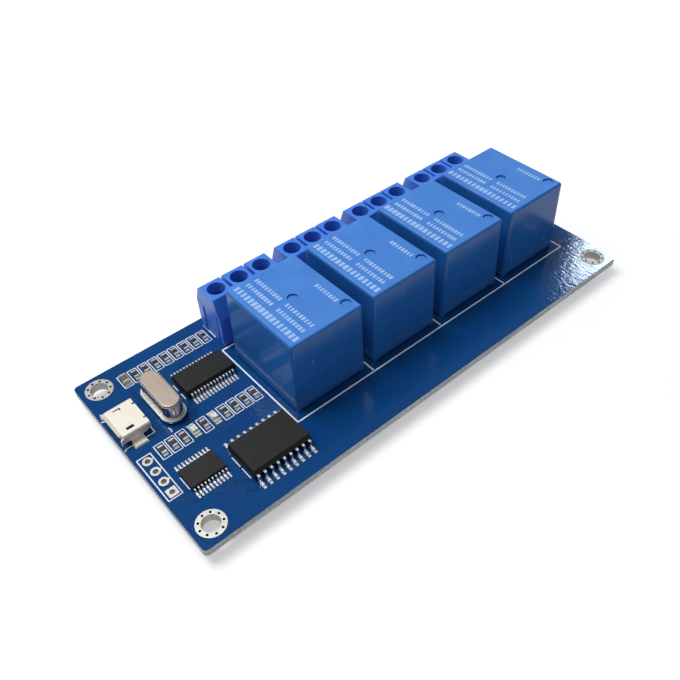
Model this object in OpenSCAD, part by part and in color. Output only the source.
// Four-channel relay module with a USB control port.
// Lengths are millimetres. The board lies in the XY plane, centred on the origin: +X runs from the
// USB end to the bare end, +Y points to the screw terminals, and Z = 0 is the plane on which the
// trimmed pins under the board stand. Places on the board are measured from its USB-end front corner.

/* [Board] */
// Length of the board
board_l = 100; // [97:0.5:130]
// Width of the board
board_w = 42.5; // [42:0.5:60]
// Thickness of the board
board_t = 1.6; // [0.8:0.1:3.2]
// Radius of the board's corners
board_corner_r = 0.8; // [0.3:0.1:2]
// Length of the trimmed pins below the board
pin_drop = 2; // [1.2:0.1:5]

/* [Mounting holes] */
// Bore of a mounting hole
hole_d = 3.2; // [2.5:0.1:3.4]
// Distance of a hole's centre from both edges
hole_inset = 3.4; // [3:0.1:4.5]
// Outer diameter of the tinned land round a hole
land_d = 5; // [4.9:0.1:6]
// Number of small vias in a land
land_via_count = 9; // [6:1:10]
// Bore of a via
land_via_d = 0.45; // [0.25:0.05:0.5]

/* [Relays] */
// Width of a relay along the board
relay_w = 15.2; // [14:0.1:16.2]
// Length of a relay across the board
relay_l = 18.7; // [18:0.1:20]
// Height of a relay's case
relay_h = 15; // [12:0.1:20]
// Height of the feet that hold a case off the board
relay_foot_h = 0.5; // [0.2:0.1:0.6]
// Distance between relay centres
relay_pitch = 17.3; // [16.9:0.1:17.5]
// Centre of the first relay from the USB end
relay_first_x = 33.9; // [33.5:0.1:36]
// Centre line of the relays from the front edge
relay_y = 20.7; // [20:0.1:21.5]
// How much narrower a case is at its top than at its foot
relay_draft = 0.3; // [0:0.05:0.6]
// Radius of a case's edges
relay_edge_r = 0.55; // [0.3:0.05:1.2]
// Wall of a case round its base plate
relay_wall = 1; // [0.6:0.1:1.5]

/* [Screw terminals] */
// Distance between poles
pole_pitch = 5; // [4.6:0.1:5.08]
// Depth of a terminal block at its foot
block_d = 7.5; // [7:0.1:8.5]
// Height of a terminal block
block_h = 10.3; // [9.8:0.1:14]
// Depth of the flat top between the two slopes
block_top_d = 5.1; // [4.6:0.1:5.6]
// Height that the slope above the wire entries takes
block_slope_h = 3.3; // [2:0.1:4]
// Bore of a screw well
well_d = 3.4; // [3.3:0.1:4]
// Diameter of a clamp screw's head
screw_head_d = 3; // [2.8:0.1:3.2]
// Diameter of a clamp screw's shank
screw_d = 2.4; // [2:0.1:2.6]
// Depth of a screw's head below the top of the block
screw_sink = 2.6; // [1:0.1:3.4]
// Side of a square wire entry
wire_entry = 2.9; // [2.4:0.1:3.2]

/* [USB socket] */
// Width of the socket's shell
usb_w = 7; // [6.6:0.1:7.6]
// Depth of the socket's shell behind its flared mouth
usb_l = 5; // [4.8:0.1:5.5]
// Height of the shell
usb_h = 2.6; // [2.4:0.1:3]
// Thickness of the shell's sheet
usb_sheet = 0.25; // [0.2:0.05:0.3]
// Centre line of the socket from the front edge
usb_y = 28.1; // [27.5:0.1:29]

/* [Crystal] */
// Length of the crystal's can
crystal_l = 10.2; // [9.6:0.1:10.4]
// Width of the crystal's can
crystal_w = 3.8; // [3.4:0.1:4]
// Height of the crystal's can
crystal_h = 3.3; // [2.5:0.1:13]
// Width of the flange round the can's foot
crystal_flange = 0.42; // [0.3:0.02:0.5]

/* [Chip parts] */
// Distance between neighbours in the front row of chip parts
chip_pitch_front = 2.035; // [2:0.005:2.05]
// Distance between neighbours in the back row of chip parts
chip_pitch_back = 2.07; // [2:0.005:2.1]

/* [Hidden] */
$fn = 48;
eps = 0.01;
board_bottom = pin_drop;
board_top = board_bottom + board_t;
channel_count = 4;

// Plating and small clearances that pieces share
plating = 0.05;
pad_t = 0.06;
slide_gap = 0.1;
pin_gap = 0.05;
barrel_gap = 0.01;

// Mounting lands
land_via_circle_d = (hole_d + land_d) / 2 - 0.1;

// Unfitted header in front of the socket
header_x = 1.95;
header_y = 15.95;
header_pitch = 2.54;
header_count = 4;
header_hole_d = 0.95;
header_pad_d = 1.75;
header_pad_tip = 1.15;
hole_room = 0.4;

// Relay: base plate, moulding dimples and pins
relay_recess = 1.8;
relay_base_t = 1.4;
dimple_d = 2;
dimple_depth = 0.35;
dimple_spots = [[0, 0], [5.7, -7]];
coil_pin_d = 0.7;
contact_pin = [1.2, 0.5];
relay_pin_inset = [1.6, 2.25];
relay_pin_span = relay_w - 2 * relay_pin_inset.x;
relay_common_y = relay_pin_inset.y - relay_l / 2;
relay_coil_y = relay_common_y + 2;
relay_contact_y = relay_coil_y + 12.2;

// Terminal block: poles, chamber, clamp and pin
poles = 3;
block_end = 0.1;
block_l = poles * pole_pitch - 2 * block_end;
block_shift_x = -0.4;
block_back_margin = 2;
block_front_y = board_w - block_back_margin - block_d;
well_y = 3.85;
block_top_y = well_y - block_top_d / 2;
block_lean_h = 4;
block_floor = 1;
block_chamfer = 0.2;
clamp_size = [3.2, 3.2, 5];
clamp_wall = 0.4;
clamp_top = 1.3;
clamp_window_h = 3.2;
chamber_w = clamp_size.x + 2 * slide_gap;
chamber_d = clamp_size.y + 2 * slide_gap;
chamber_h = clamp_size.z + 2 * slide_gap;
screw_head_h = 1.5;
screw_slot = [0.6, 0.7];
screw_reach = 1.2;
block_slit_w = 0.6;
block_slit_depth = 3;
block_slit_front = 2.45;
block_pin = [1, 0.8];
block_tab = [2.2, 3, 0.5];
hook_y = 1.15;
hook_h = 6.3;
hook_gap = 0.05;
groove = [0.45, 0.65];
pocket = [0.2, 4.65];
end_line = [0.08, 3.1, 0.16];

// Solder joints under the board
joint_h = 1.1;
joint_ring = 0.8;
joint_neck = 0.15;

// USB socket
usb_mouth_x = 0.9;
usb_lip = 0.6;
usb_lip_flare = 0.25;
usb_shoulder = 1;
usb_bottom_w = usb_w - 1.6;
usb_corner_r = 0.45;
usb_window = [1.35, 0.62];
usb_window_x = 1.25;
usb_window_y = 2.3;
usb_latch_slot = 0.26;
usb_notch = [0.42, 0.5];
usb_notch_y = 1.95;
usb_corner_gap = [0.7, 0.3];
usb_foot = [2.2, 1.2];
usb_foot_x = 1.1;
usb_foot_bend = 0.35;
tongue_w = 3.7;
tongue_t = 0.6;
tongue_z = 1.35;
tongue_x = 0.5;
tongue_block_l = 1.4;
contact_count = 5;
contact_pitch = 0.65;
contact_w = 0.3;
contact_t = 0.15;
contact_tail = 0.9;
contact_inset = 0.3;
contact_back = usb_l - 2 * usb_sheet;

// Crystal
crystal_x = 10.3;
crystal_y = 28.4;
crystal_base_t = 0.45;
crystal_flange_t = 0.35;
crystal_standoff = 0.25;
crystal_edge_r = 0.45;
crystal_lead_d = 0.45;
crystal_lead_span = 4.88;
crystal_lead_drop = 1.2;

// Chip parts: [length, width, height]; the long side lies across the board
chip_size = [1.6, 0.85, 0.45];
capacitor_size = [2, 1.25, 0.85];
led_size = [2, 1.25, 0.3];
led_lens = [1.2, 1.15, 0.5];
chip_cap = 0.3;
chip_cap_t = 0.02;
solder_reach = 0.45;
front_row_x = 4.97;
front_row_y = 20;
back_row_x = 7.9;
back_row_y = 37.85;
front_row_kinds = ["r", "r", "r", "led", "r", "led", "r", "r", "r", "r"];
back_row_kinds = ["cap", "r", "r", "r", "r", "r", "r", "r", "r"];

// Driver, interface and controller chips
ic_draft = 0.12;
ic_dot_depth = 0.05;

CASE_NODES = [for (i = [1:channel_count]) str("relay_", i, "_case")];
BASE_NODES = [for (i = [1:channel_count]) str("relay_", i, "_base")];
RELAY_PIN_NODES = [for (i = [1:channel_count]) str("relay_", i, "_pins")];
HOUSING_NODES = [for (i = [1:channel_count]) str("terminal_", i, "_housing")];
CLAMP_NODES = [for (i = [1:channel_count]) str("terminal_", i, "_clamps")];
SCREW_NODES = [for (i = [1:channel_count]) str("terminal_", i, "_screws")];
BLOCK_PIN_NODES = [for (i = [1:channel_count]) str("terminal_", i, "_pins")];
SINGLE_NODES = [
    "circuit_board", "mounting_lands", "header_pads",
    "usb_shell", "usb_tongue", "usb_contacts",
    "crystal_can", "crystal_base", "crystal_leads",
    "interface_chip_body", "interface_chip_leads",
    "controller_chip_body", "controller_chip_leads",
    "driver_chip_body", "driver_chip_leads",
    "resistor_bodies", "capacitor_body", "chip_end_caps",
    "led_bases", "led_lenses",
    "chip_solder_lands", "ic_solder_pads", "usb_solder_pads",
    "relay_solder_joints", "terminal_solder_joints", "crystal_solder_joints"
];

// ---- Places ----

// Puts children on the board's top face at a place measured from its front corner.
module on_board(x, y) {
    translate([x - board_l / 2, y - board_w / 2, board_top]) children();
}

// Repeats children at the four mounting holes, at the height of the board's underside.
module at_mounting_holes() {
    for (sx = [-1, 1], sy = [-1, 1])
        translate([sx * (board_l / 2 - hole_inset), sy * (board_w / 2 - hole_inset), board_bottom])
            children();
}

function relay_x(i) = relay_first_x + i * relay_pitch;

module at_relay(i) {
    on_board(relay_x(i), relay_y) children();
}

// A block's own origin is the middle of its front face, on the board.
module at_block(i) {
    on_board(relay_x(i) + block_shift_x, block_front_y) children();
}

module at_poles() {
    for (k = [0:poles - 1])
        translate([(k - (poles - 1) / 2) * pole_pitch, well_y, 0]) children();
}

module at_crystal() {
    on_board(crystal_x, crystal_y) children();
}

// The socket's own origin is the edge of its mouth, on the board; it faces the USB end.
module at_usb() {
    on_board(usb_mouth_x, usb_y) children();
}

module at_header() {
    for (k = [0:header_count - 1])
        on_board(header_x, header_y + (k - (header_count - 1) / 2) * header_pitch) {
            $first_pad = k == 0;
            children();
        }
}

// Repeats children at every chip part of one kind.
module at_chips(kind) {
    for (k = [0:len(front_row_kinds) - 1])
        if (front_row_kinds[k] == kind)
            on_board(front_row_x + k * chip_pitch_front, front_row_y) children();
    for (k = [0:len(back_row_kinds) - 1])
        if (back_row_kinds[k] == kind)
            on_board(back_row_x + k * chip_pitch_back, back_row_y) children();
}

// ---- Shared shapes ----

module rounded_rect(l, w, r) {
    for (sx = [-1, 1], sy = [-1, 1])
        translate([sx * (l / 2 - r), sy * (w / 2 - r)]) circle(r);
    square([l - 2 * r, w], center = true);
    square([l, w - 2 * r], center = true);
}

module obround(l, w) {
    for (s = [-1, 1]) translate([0, s * (l - w) / 2]) circle(d = w);
    square([w, l - w], center = true);
}

// Extrudes a profile drawn in the YZ plane along X, centred.
module along_x(l) {
    rotate([90, 0, 90]) translate([0, 0, -l / 2]) linear_extrude(l) children();
}

// Extrudes a profile drawn in the XZ plane along Y, centred.
module along_y(l) {
    rotate([90, 0, 0]) translate([0, 0, -l / 2]) linear_extrude(l) children();
}

module block_at(size, z) {
    translate([-size.x / 2, -size.y / 2, z]) cube(size);
}

// A tinned land on both faces, joined by the plated wall of its hole. It sits at the board's underside.
module plated_hole(bore_d, pad_d) {
    difference() {
        union() {
            translate([0, 0, -plating]) cylinder(d = pad_d, h = plating);
            translate([0, 0, board_t]) cylinder(d = pad_d, h = plating);
            translate([0, 0, -plating]) cylinder(d = bore_d + 2 * plating, h = board_t + 2 * plating);
        }
        translate([0, 0, -1]) cylinder(d = bore_d, h = board_t + 2);
    }
}

module plated_hole_clearance(bore_d) {
    translate([0, 0, -1]) cylinder(d = bore_d + 2 * (plating + barrel_gap), h = board_t + 2);
}

// ---- Circuit board ----

module land_vias() {
    for (k = [0:land_via_count - 1])
        rotate(360 * (k + 0.5) / land_via_count)
            translate([land_via_circle_d / 2, 0, -1]) cylinder(d = land_via_d, h = board_t + 2, $fn = 16);
}

module circuit_board() {
    color("#1c4a93")
    difference() {
        translate([0, 0, board_bottom])
            linear_extrude(board_t) rounded_rect(board_l, board_w, board_corner_r);
        at_mounting_holes() {
            plated_hole_clearance(hole_d);
            land_vias();
        }
        at_header() translate([0, 0, -board_t]) plated_hole_clearance(header_hole_d);
        for (i = [0:channel_count - 1]) {
            at_relay(i) relay_pin_holes(hole_room, board_t);
            at_block(i) at_poles() pin_hole(norm(block_pin) + hole_room, board_t);
        }
        at_crystal() crystal_lead_spots() pin_hole(crystal_lead_d + hole_room, board_t);
    }
}

module mounting_lands() {
    color("#d6d3cf")
    at_mounting_holes() difference() {
        plated_hole(hole_d, land_d);
        land_vias();
    }
}

// The first pad is square, to mark pin 1.
module header_pads() {
    color("#cfcac4")
    at_header() translate([0, 0, -board_t]) {
        if ($first_pad)
            difference() {
                union() {
                    plated_hole(header_hole_d, header_pad_d * 0.7);
                    for (z = [-plating, board_t])
                        block_at([header_pad_d, header_pad_d, plating], z);
                }
                translate([0, 0, -1]) cylinder(d = header_hole_d, h = board_t + 2);
            }
        else
            difference() {
                union() {
                    plated_hole(header_hole_d, header_pad_d);
                    translate([0, 0, board_t]) linear_extrude(plating)
                        polygon([[0, -0.4 * header_pad_d], [header_pad_tip, 0], [0, 0.4 * header_pad_d]]);
                }
                translate([0, 0, -1]) cylinder(d = header_hole_d, h = board_t + 2);
            }
    }
}

// A round hole for a pin, through the board and down from its top.
module pin_hole(d, depth) {
    translate([0, 0, -depth - 1]) cylinder(d = d, h = depth + 2, $fn = 24);
}

// ---- Solder joints under the board ----

// A fillet that climbs from its pad to the pin, with the pin's own section left open.
module solder_joint(hole, pin) {
    foot_r = hole / 2 + joint_ring;
    neck_r = pin / 2 + joint_neck;
    steps = 5;
    translate([0, 0, -board_t])
    difference() {
        rotate_extrude($fn = 24)
            polygon(concat([[0, 0]],
                           [for (k = [0:steps]) [neck_r + (foot_r - neck_r) * pow(1 - k / steps, 2),
                                                 -joint_h * k / steps]],
                           [[0, -joint_h]]));
        translate([0, 0, -joint_h - 1]) linear_extrude(joint_h + 2) children();
    }
}

module relay_solder_joints() {
    color("silver")
    for (i = [0:channel_count - 1]) at_relay(i) {
        coil_spots() solder_joint(coil_pin_d + hole_room, coil_pin_d) circle(d = coil_pin_d, $fn = 24);
        contact_spots()
            solder_joint(norm(contact_pin) + hole_room, contact_pin.x) square(contact_pin, center = true);
    }
}

module terminal_solder_joints() {
    color("silver")
    for (i = [0:channel_count - 1]) at_block(i) at_poles()
        solder_joint(norm(block_pin) + hole_room, block_pin.x) square(block_pin, center = true);
}

module crystal_solder_joints() {
    color("silver")
    at_crystal() crystal_lead_spots()
        solder_joint(crystal_lead_d + hole_room, crystal_lead_d) circle(d = crystal_lead_d, $fn = 24);
}

// ---- Relays ----

module coil_spots() {
    for (s = [-1, 1]) translate([s * relay_pin_span / 2, relay_coil_y, 0]) children();
}

module contact_spots() {
    translate([0, relay_common_y, 0]) children();
    for (s = [-1, 1]) translate([s * relay_pin_span / 2, relay_contact_y, 0]) children();
}

module relay_pin_holes(room, depth) {
    coil_spots() pin_hole(coil_pin_d + room, depth);
    contact_spots() pin_hole(norm(contact_pin) + room, depth);
}

module relay_recess_plan(gap) {
    rounded_rect(relay_w - 2 * relay_wall - 2 * gap, relay_l - 2 * relay_wall - 2 * gap, relay_edge_r);
}

// A moulded cap with drafted sides and soft edges, two ejector dimples on top, a recess for the
// base plate below and a short foot at each corner.
module relay_case(i) {
    at_relay(i) color("#2f62c4") {
        difference() {
            translate([0, 0, relay_foot_h]) hull() {
                for (sx = [-1, 1], sy = [-1, 1]) {
                    translate([sx * (relay_w / 2 - relay_edge_r), sy * (relay_l / 2 - relay_edge_r), 0])
                        cylinder(r = relay_edge_r, h = eps, $fn = 24);
                    translate([sx * (relay_w / 2 - relay_draft / 2 - relay_edge_r),
                               sy * (relay_l / 2 - relay_draft / 2 - relay_edge_r),
                               relay_h - relay_edge_r])
                        sphere(r = relay_edge_r, $fn = 24);
                }
            }
            translate([0, 0, -1]) linear_extrude(relay_foot_h + relay_recess + 1) relay_recess_plan(0);
            for (spot = dimple_spots)
                translate([spot.x, spot.y, relay_foot_h + relay_h - dimple_depth])
                    cylinder(d = dimple_d, h = 1);
        }
        for (sx = [-1, 1], sy = [-1, 1])
            translate([sx * (relay_w - relay_wall) / 2, sy * (relay_l - relay_wall) / 2, 0])
                block_at([relay_wall - 2 * slide_gap, relay_wall - 2 * slide_gap, relay_foot_h + eps], 0);
    }
}

// The plate that closes the case and holds the pins.
module relay_base(i) {
    at_relay(i) color("#1d2f63")
    translate([0, 0, relay_foot_h + relay_recess - relay_base_t])
    linear_extrude(relay_base_t) difference() {
        relay_recess_plan(slide_gap);
        coil_spots() circle(d = coil_pin_d + 2 * pin_gap, $fn = 24);
        contact_spots() square([contact_pin.x + 2 * pin_gap, contact_pin.y + 2 * pin_gap], center = true);
    }
}

// Two round coil pins and three flat contact pins, cut off level under the board.
module relay_pins(i) {
    pin_l = relay_foot_h + relay_recess + board_t + pin_drop;
    at_relay(i) color("silver")
    translate([0, 0, -board_t - pin_drop]) {
        coil_spots() cylinder(d = coil_pin_d, h = pin_l, $fn = 24);
        contact_spots() linear_extrude(pin_l) square(contact_pin, center = true);
    }
}

// ---- Screw terminals ----

// The section of a block, as [y, z] points: a front that leans back, the flat top, then a slope down
// to the wire-entry face.
block_section = [
    [0, 0], [block_d, 0], [block_d, block_h - block_slope_h],
    [block_top_y + block_top_d, block_h - block_chamfer],
    [block_top_y + block_top_d - block_chamfer, block_h],
    [block_top_y + block_chamfer, block_h], [block_top_y, block_h - block_chamfer],
    [block_chamfer, block_h - block_lean_h], [0, block_h - block_lean_h - 2 * block_chamfer]
];

chamber_top = block_floor + chamber_h;
wire_z = block_floor + slide_gap + clamp_wall;

// Neighbouring blocks line up by a low pad with a rib on one end, which slide down into a pocket with
// a groove in the other.
module end_hook(room) {
    for (size = [pocket, groove])
        translate([-eps, hook_y - room, -room])
            cube([size.x - hook_gap + room + eps, size.y + 2 * room, hook_h + 2 * room]);
}

// The moulded housing: three screw wells open onto the clamp chambers, slits part the poles, and
// square entries in the back face lead the wires into the clamps.
module terminal_housing(i) {
    at_block(i) color("#3f6fd8") {
        difference() {
            along_x(block_l) polygon(block_section);
            at_poles() {
                block_at([chamber_w, chamber_d, chamber_h], block_floor);
                translate([0, 0, chamber_top - eps]) cylinder(d = well_d, h = block_h);
                translate([-wire_entry / 2, 0, wire_z]) cube([wire_entry, block_d, wire_entry]);
                translate([0, 0, -1])
                    linear_extrude(block_floor + 2)
                        square([block_pin.x + 2 * pin_gap, block_pin.y + 2 * pin_gap], center = true);
            }
            for (k = [1:poles - 1])
                translate([(k - poles / 2) * pole_pitch - block_slit_w / 2, block_slit_front,
                           block_h - block_slit_depth])
                    cube([block_slit_w, block_d, block_slit_depth + 1]);
            translate([-block_l / 2, 0, 0]) end_hook(hook_gap);
            translate([-block_l / 2 - eps, block_d - end_line.y, block_h - block_slope_h])
                cube([end_line.x + eps, end_line.y + 1, end_line.z]);
        }
        translate([block_l / 2, 0, 0]) end_hook(0);
    }
}

// A bent-up clamp cage: the wire goes through its window and the screw comes down through its top.
module terminal_clamps(i) {
    at_block(i) at_poles() color("#b9bcc2") translate([0, 0, block_floor + slide_gap])
    difference() {
        block_at(clamp_size, 0);
        translate([-clamp_size.x / 2 + clamp_wall, -clamp_size.y, clamp_wall])
            cube([clamp_size.x - 2 * clamp_wall, 2 * clamp_size.y, clamp_window_h]);
        translate([0, 0, clamp_wall + clamp_window_h - eps])
            cylinder(d = screw_d + 2 * pin_gap, h = clamp_top + 1);
        translate([0, 0, -1])
            linear_extrude(clamp_wall + 1 + eps)
                square([block_pin.x + 2 * pin_gap, block_pin.y + 2 * pin_gap], center = true);
    }
}

module terminal_screws(i) {
    head_top = block_h - screw_sink;
    tip = block_floor + slide_gap + clamp_wall + clamp_window_h - screw_reach;
    at_block(i) at_poles() color("#c9c6bd") difference() {
        union() {
            translate([0, 0, head_top - screw_head_h]) cylinder(d = screw_head_d, h = screw_head_h);
            translate([0, 0, tip]) cylinder(d = screw_d, h = head_top - tip - eps);
        }
        rotate(25 + 40 * i)
            block_at([screw_head_d + 1, screw_slot.x, screw_slot.y + 1], head_top - screw_slot.y);
    }
}

// A contact tab on the floor of the clamp, with its pin down through the housing and the board.
module terminal_pins(i) {
    tab_z = block_floor + slide_gap + clamp_wall;
    at_block(i) at_poles() color("silver") {
        block_at(block_tab, tab_z);
        translate([0, 0, -board_t - pin_drop])
            linear_extrude(tab_z + board_t + pin_drop + eps) square(block_pin, center = true);
    }
}

// ---- USB socket ----

function arc(c, r, from, to, steps = 5) =
    [for (k = [0:steps]) let (a = from + (to - from) * k / steps) c + r * [cos(a), sin(a)]];

// The shell's outline as [y, z] points, drawn in from its outer face by inset. The lower corners
// slope in, which is what lets a plug go in one way up only.
function usb_outline(inset) =
    let (half = usb_w / 2 - inset,
         foot = usb_bottom_w / 2 - inset,
         top = usb_h - inset,
         r = usb_corner_r - inset / 2)
    concat([[-foot, inset], [foot, inset], [half, usb_shoulder]],
           arc([half - r, top - r], r, 0, 90),
           arc([-half + r, top - r], r, 90, 180),
           [[-half, usb_shoulder]]);

module usb_lip_plate(w) {
    along_y(w)
        polygon([[0, usb_h - usb_sheet], [0, usb_h],
                 [-usb_lip, usb_h + usb_lip_flare], [-usb_lip, usb_h + usb_lip_flare - usb_sheet]]);
}

module latch_window() {
    translate([0, -usb_window.y / 2, 0]) cube([usb_window.x, usb_window.y, 1]);
}

// The folded shell: a tube with a flared mouth, a latch window on one side and a latch finger on the
// other, a rear flap and a foot each side.
module usb_shell() {
    at_usb() color("#dcdcd8") {
        difference() {
            translate([usb_l / 2, 0, 0]) along_x(usb_l) polygon(usb_outline(0));
            translate([usb_l / 2 - usb_sheet, 0, 0]) along_x(usb_l) polygon(usb_outline(usb_sheet));
            translate([contact_back - contact_t - slide_gap, -usb_w / 2, -1])
                cube([usb_w, usb_w, 1 + usb_shoulder + usb_sheet]);
            translate([usb_window_x, -usb_window_y, usb_h - 2 * usb_sheet]) latch_window();
            translate([usb_window_x, usb_window_y, usb_h - 2 * usb_sheet]) difference() {
                latch_window();
                translate([-eps, -usb_window.y, -eps])
                    cube([usb_window.x - usb_latch_slot, 1.5 * usb_window.y - usb_latch_slot, 2]);
            }
            for (s = [-1, 1]) {
                translate([usb_l - usb_notch.x, s * usb_notch_y - usb_notch.y / 2, usb_h - usb_corner_r])
                    cube([usb_notch.x + 1, usb_notch.y, 1]);
                translate([usb_l - usb_corner_gap.x, s * usb_w / 2 - usb_sheet - eps,
                           usb_h - usb_corner_r - usb_corner_gap.y])
                    cube([usb_corner_gap.x + 1, 2 * (usb_sheet + eps), usb_corner_gap.y]);
            }
        }
        usb_lip_plate(usb_w - 2 * usb_corner_r);
        for (s = [-1, 1]) {
            translate([0, 0, usb_shoulder])
                linear_extrude(usb_h - usb_shoulder - usb_corner_r)
                    polygon([[0, s * (usb_w / 2 - usb_sheet)], [0, s * usb_w / 2],
                             [-usb_lip, s * (usb_w / 2 + usb_lip_flare)],
                             [-usb_lip, s * (usb_w / 2 + usb_lip_flare - usb_sheet)]]);
            translate([usb_foot_x + usb_foot.x / 2, 0, 0])
                along_x(usb_foot.x)
                    polygon([[s * (usb_w / 2 - usb_sheet), usb_shoulder + usb_sheet],
                             [s * (usb_w / 2 - usb_sheet), usb_foot_bend + pad_t],
                             [s * (usb_w / 2 - usb_sheet + usb_foot_bend), pad_t],
                             [s * (usb_w / 2 + usb_foot.y), pad_t],
                             [s * (usb_w / 2 + usb_foot.y), pad_t + usb_sheet],
                             [s * (usb_w / 2 + usb_foot_bend), pad_t + usb_sheet],
                             [s * usb_w / 2, usb_foot_bend + pad_t + usb_sheet],
                             [s * usb_w / 2, usb_shoulder + usb_sheet]]);
        }
    }
}

// The moulded insulator: a block across the back of the shell and a thin tongue towards the mouth.
module usb_tongue() {
    back = usb_l - usb_sheet - slide_gap;
    at_usb() color("#1b1b1d") difference() {
        union() {
            translate([back - tongue_block_l / 2, 0, 0]) along_x(tongue_block_l)
                intersection() {
                    polygon(usb_outline(usb_sheet + slide_gap));
                    translate([-usb_w, usb_sheet + slide_gap]) square([2 * usb_w, usb_h]);
                }
            translate([tongue_x, -tongue_w / 2, tongue_z]) cube([back - tongue_x, tongue_w, tongue_t]);
        }
        at_contacts() translate([0, 0, -1])
            linear_extrude(tongue_z + 1) translate([0, -contact_w / 2 - pin_gap])
                square([usb_l, contact_w + 2 * pin_gap]);
    }
}

module at_contacts() {
    for (k = [0:contact_count - 1])
        translate([0, (k - (contact_count - 1) / 2) * contact_pitch, 0]) children();
}

// Five strips under the tongue, bent down at the back to their tails on the board.
module usb_contacts() {
    front = tongue_x + contact_inset;
    back = contact_back;
    at_usb() at_contacts() color("#d9b45a") along_y(contact_w)
        polygon([[front, tongue_z - contact_t], [back - contact_t, tongue_z - contact_t],
                 [back - contact_t, pad_t], [back + contact_tail, pad_t],
                 [back + contact_tail, pad_t + contact_t], [back, pad_t + contact_t],
                 [back, tongue_z], [front, tongue_z]]);
}

module usb_solder_pads() {
    at_usb() color("silver") {
        at_contacts() translate([contact_back - contact_t, -contact_w / 2, 0])
            cube([contact_tail + 2 * contact_t, contact_w, pad_t]);
        for (s = [-1, 1])
            translate([usb_foot_x + usb_foot.x / 2, s * (usb_w / 2 + usb_foot.y / 2), 0])
                block_at([usb_foot.x + 0.3, usb_foot.y + 0.3, pad_t], 0);
    }
}

// ---- Crystal ----

module crystal_lead_spots() {
    for (s = [-1, 1]) translate([0, s * crystal_lead_span / 2, 0]) children();
}

// A drawn can with a soft top edge, on a welded flange.
module crystal_can() {
    at_crystal() color("#b9b3a6") translate([0, 0, crystal_standoff + crystal_base_t]) {
        linear_extrude(crystal_flange_t)
            obround(crystal_l + 2 * crystal_flange, crystal_w + 2 * crystal_flange);
        translate([0, 0, crystal_flange_t - eps]) hull()
            for (s = [-1, 1]) translate([0, s * (crystal_l - crystal_w) / 2, 0])
                rotate_extrude($fn = 32)
                    polygon(concat([[0, 0], [crystal_w / 2, 0]],
                                   arc([crystal_w / 2 - crystal_edge_r, crystal_h - crystal_edge_r],
                                       crystal_edge_r, 0, 90, 4),
                                   [[0, crystal_h]]));
    }
}

module crystal_base() {
    at_crystal() color("#8d8a84") translate([0, 0, crystal_standoff])
        linear_extrude(crystal_base_t) difference() {
            obround(crystal_l + crystal_flange, crystal_w + crystal_flange);
            crystal_lead_spots() circle(d = crystal_lead_d + 2 * pin_gap, $fn = 24);
        }
}

module crystal_leads() {
    at_crystal() crystal_lead_spots() color("silver")
        translate([0, 0, -board_t - crystal_lead_drop])
            cylinder(d = crystal_lead_d, $fn = 24,
                     h = board_t + crystal_lead_drop + crystal_standoff + crystal_base_t);
}

// ---- Chip resistors, capacitor and indicator lamps ----

module chip_body(size) {
    block_at([size.y, size.x - 2 * chip_cap, size.z], pad_t + chip_cap_t);
}

module chip_caps(size) {
    for (s = [-1, 1])
        translate([0, s * (size.x / 2 - chip_cap / 2), 0])
            block_at([size.y + 2 * chip_cap_t, chip_cap, size.z + 2 * chip_cap_t], pad_t);
}

// A tinned land with the solder drawn up the end of the chip.
module chip_lands(size) {
    for (s = [-1, 1])
        rotate(s > 0 ? 0 : 180) along_x(size.y)
            polygon([[size.x / 2 - chip_cap, 0], [size.x / 2 + solder_reach, 0],
                     [size.x / 2 + solder_reach, pad_t],
                     [size.x / 2 + solder_reach * 0.35, pad_t + size.z * 0.3],
                     [size.x / 2, pad_t + size.z * 0.75], [size.x / 2, pad_t],
                     [size.x / 2 - chip_cap, pad_t]]);
}

module resistor_bodies() {
    color("#5d5048") at_chips("r") chip_body(chip_size);
}

module capacitor_body() {
    color("#b39a72") at_chips("cap") chip_body(capacitor_size);
}

module led_bases() {
    color("#e8e6dc") at_chips("led") chip_body(led_size);
}

module led_lenses() {
    color("#f2f4ea") at_chips("led")
        translate([0, 0, pad_t + chip_cap_t + led_size.z]) hull() {
            block_at([led_lens.y, led_lens.x, led_lens.z / 2], 0);
            block_at([led_lens.y - 0.15, led_lens.x - 0.15, led_lens.z], 0);
        }
}

module chip_end_caps() {
    color("#d8d8d4") {
        at_chips("r") chip_caps(chip_size);
        at_chips("cap") chip_caps(capacitor_size);
        at_chips("led") chip_caps(led_size);
    }
}

module chip_solder_lands() {
    color("silver") {
        at_chips("r") chip_lands(chip_size);
        at_chips("cap") chip_lands(capacitor_size);
        at_chips("led") chip_lands(led_size);
    }
}

// ---- Chips with gull-wing leads ----

// One record for each chip: [place, body [length, width, height], standoff, leads a side, lead pitch,
// lead [width, thickness], lead span, foot, pin-1 dot diameter].
interface_chip = [[19, 29.1], [10.2, 5.3, 1.75], 0.1, 14, 0.65, [0.3, 0.16], 7.8, 0.6, 0.9];
controller_chip = [[7.6, 12.05], [6.6, 4.4, 0.95], 0.1, 10, 0.65, [0.25, 0.13], 6.4, 0.5, 0.7];
driver_chip = [[18.4, 8.65], [11.5, 7.5, 2.3], 0.15, 9, 1.27, [0.42, 0.26], 10.3, 0.75, 1.1];

function chip_place(c) = c[0];
function chip_box(c) = c[1];
function chip_standoff(c) = c[2];
function lead_count(c) = c[3];
function lead_pitch(c) = c[4];
function lead_section(c) = c[5];
function lead_span(c) = c[6];
function lead_foot(c) = c[7];
function dot_d(c) = c[8];
function parting_z(c) = pad_t + chip_standoff(c) + chip_box(c).z / 2;

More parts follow.
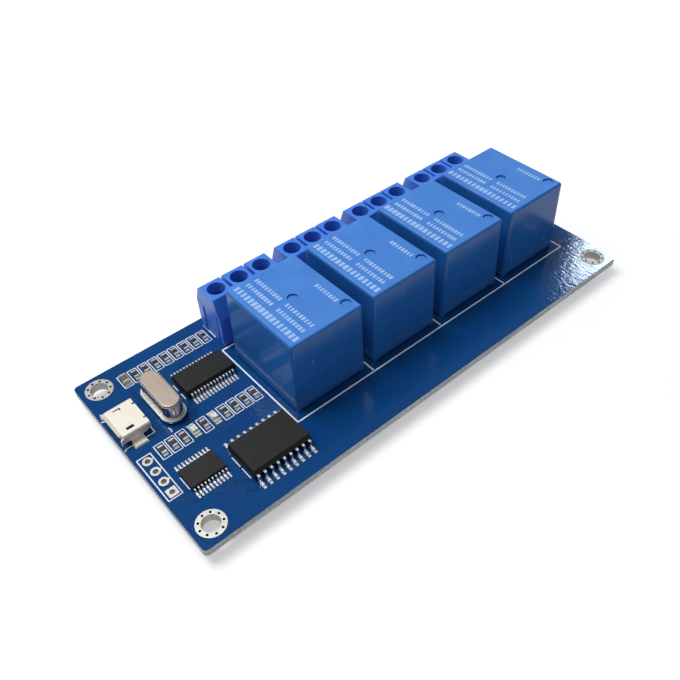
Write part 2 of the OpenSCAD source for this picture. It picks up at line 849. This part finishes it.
// A hexagon that is widest at the parting line, for a moulded body with draft above and below it.
function drafted(w, h) =
    let (d = ic_draft * h)
    [[-w / 2 + d, 0], [w / 2 - d, 0], [w / 2, h / 2], [w / 2 - d, h], [-w / 2 + d, h], [-w / 2, h / 2]];

module chip_housing(c) {
    size = chip_box(c);
    on_board(chip_place(c).x, chip_place(c).y) color("#2e2d2d")
    translate([0, 0, pad_t + chip_standoff(c)])
    difference() {
        intersection() {
            along_x(size.x + 1) polygon(drafted(size.y, size.z));
            along_y(size.y + 1) polygon(drafted(size.x, size.z));
        }
        translate([-size.x / 2 + 1.5 * dot_d(c), -size.y / 2 + 1.5 * dot_d(c), size.z - ic_dot_depth])
            cylinder(d = dot_d(c), h = 1, $fn = 32);
    }
}

module at_leads(c) {
    for (k = [0:lead_count(c) - 1], s = [-1, 1])
        on_board(chip_place(c).x + (k - (lead_count(c) - 1) / 2) * lead_pitch(c), chip_place(c).y)
            rotate(s > 0 ? 0 : 180) children();
}

// A gull-wing lead drawn in the YZ plane: out of the body, down, and flat on its pad.
module gull_leads(c) {
    t = lead_section(c).y;
    root = chip_box(c).y / 2;
    tip = lead_span(c) / 2;
    heel = tip - lead_foot(c);
    bend = root + (heel - root) * 0.55;
    z = parting_z(c);
    color("#c8c8c8") at_leads(c)
        along_x(lead_section(c).x)
            polygon([[root, z - t / 2], [bend - t / 2, z - t / 2], [heel - t / 2, pad_t], [tip, pad_t],
                     [tip, pad_t + t], [heel + t / 2, pad_t + t], [bend + t / 2, z + t / 2],
                     [root, z + t / 2]]);
}

module chip_pads(c) {
    at_leads(c)
        translate([0, lead_span(c) / 2 - lead_foot(c) / 2 + 0.15, 0])
            block_at([lead_section(c).x + 0.06, lead_foot(c) + 0.9, pad_t], 0);
}

module interface_chip_body() { chip_housing(interface_chip); }
module interface_chip_leads() { gull_leads(interface_chip); }
module controller_chip_body() { chip_housing(controller_chip); }
module controller_chip_leads() { gull_leads(controller_chip); }
module driver_chip_body() { chip_housing(driver_chip); }
module driver_chip_leads() { gull_leads(driver_chip); }

module ic_solder_pads() {
    color("silver") for (c = [interface_chip, controller_chip, driver_chip]) chip_pads(c);
}

// ---- What is drawn ----

circuit_board();
mounting_lands();
header_pads();
usb_shell();
usb_tongue();
usb_contacts();
usb_solder_pads();
crystal_can();
crystal_base();
crystal_leads();
interface_chip_body();
interface_chip_leads();
controller_chip_body();
controller_chip_leads();
driver_chip_body();
driver_chip_leads();
ic_solder_pads();
resistor_bodies();
capacitor_body();
chip_end_caps();
led_bases();
led_lenses();
chip_solder_lands();
relay_solder_joints();
terminal_solder_joints();
crystal_solder_joints();
for (i = [0:channel_count - 1]) {
    relay_case(i);
    relay_base(i);
    relay_pins(i);
    terminal_housing(i);
    terminal_clamps(i);
    terminal_screws(i);
    terminal_pins(i);
}
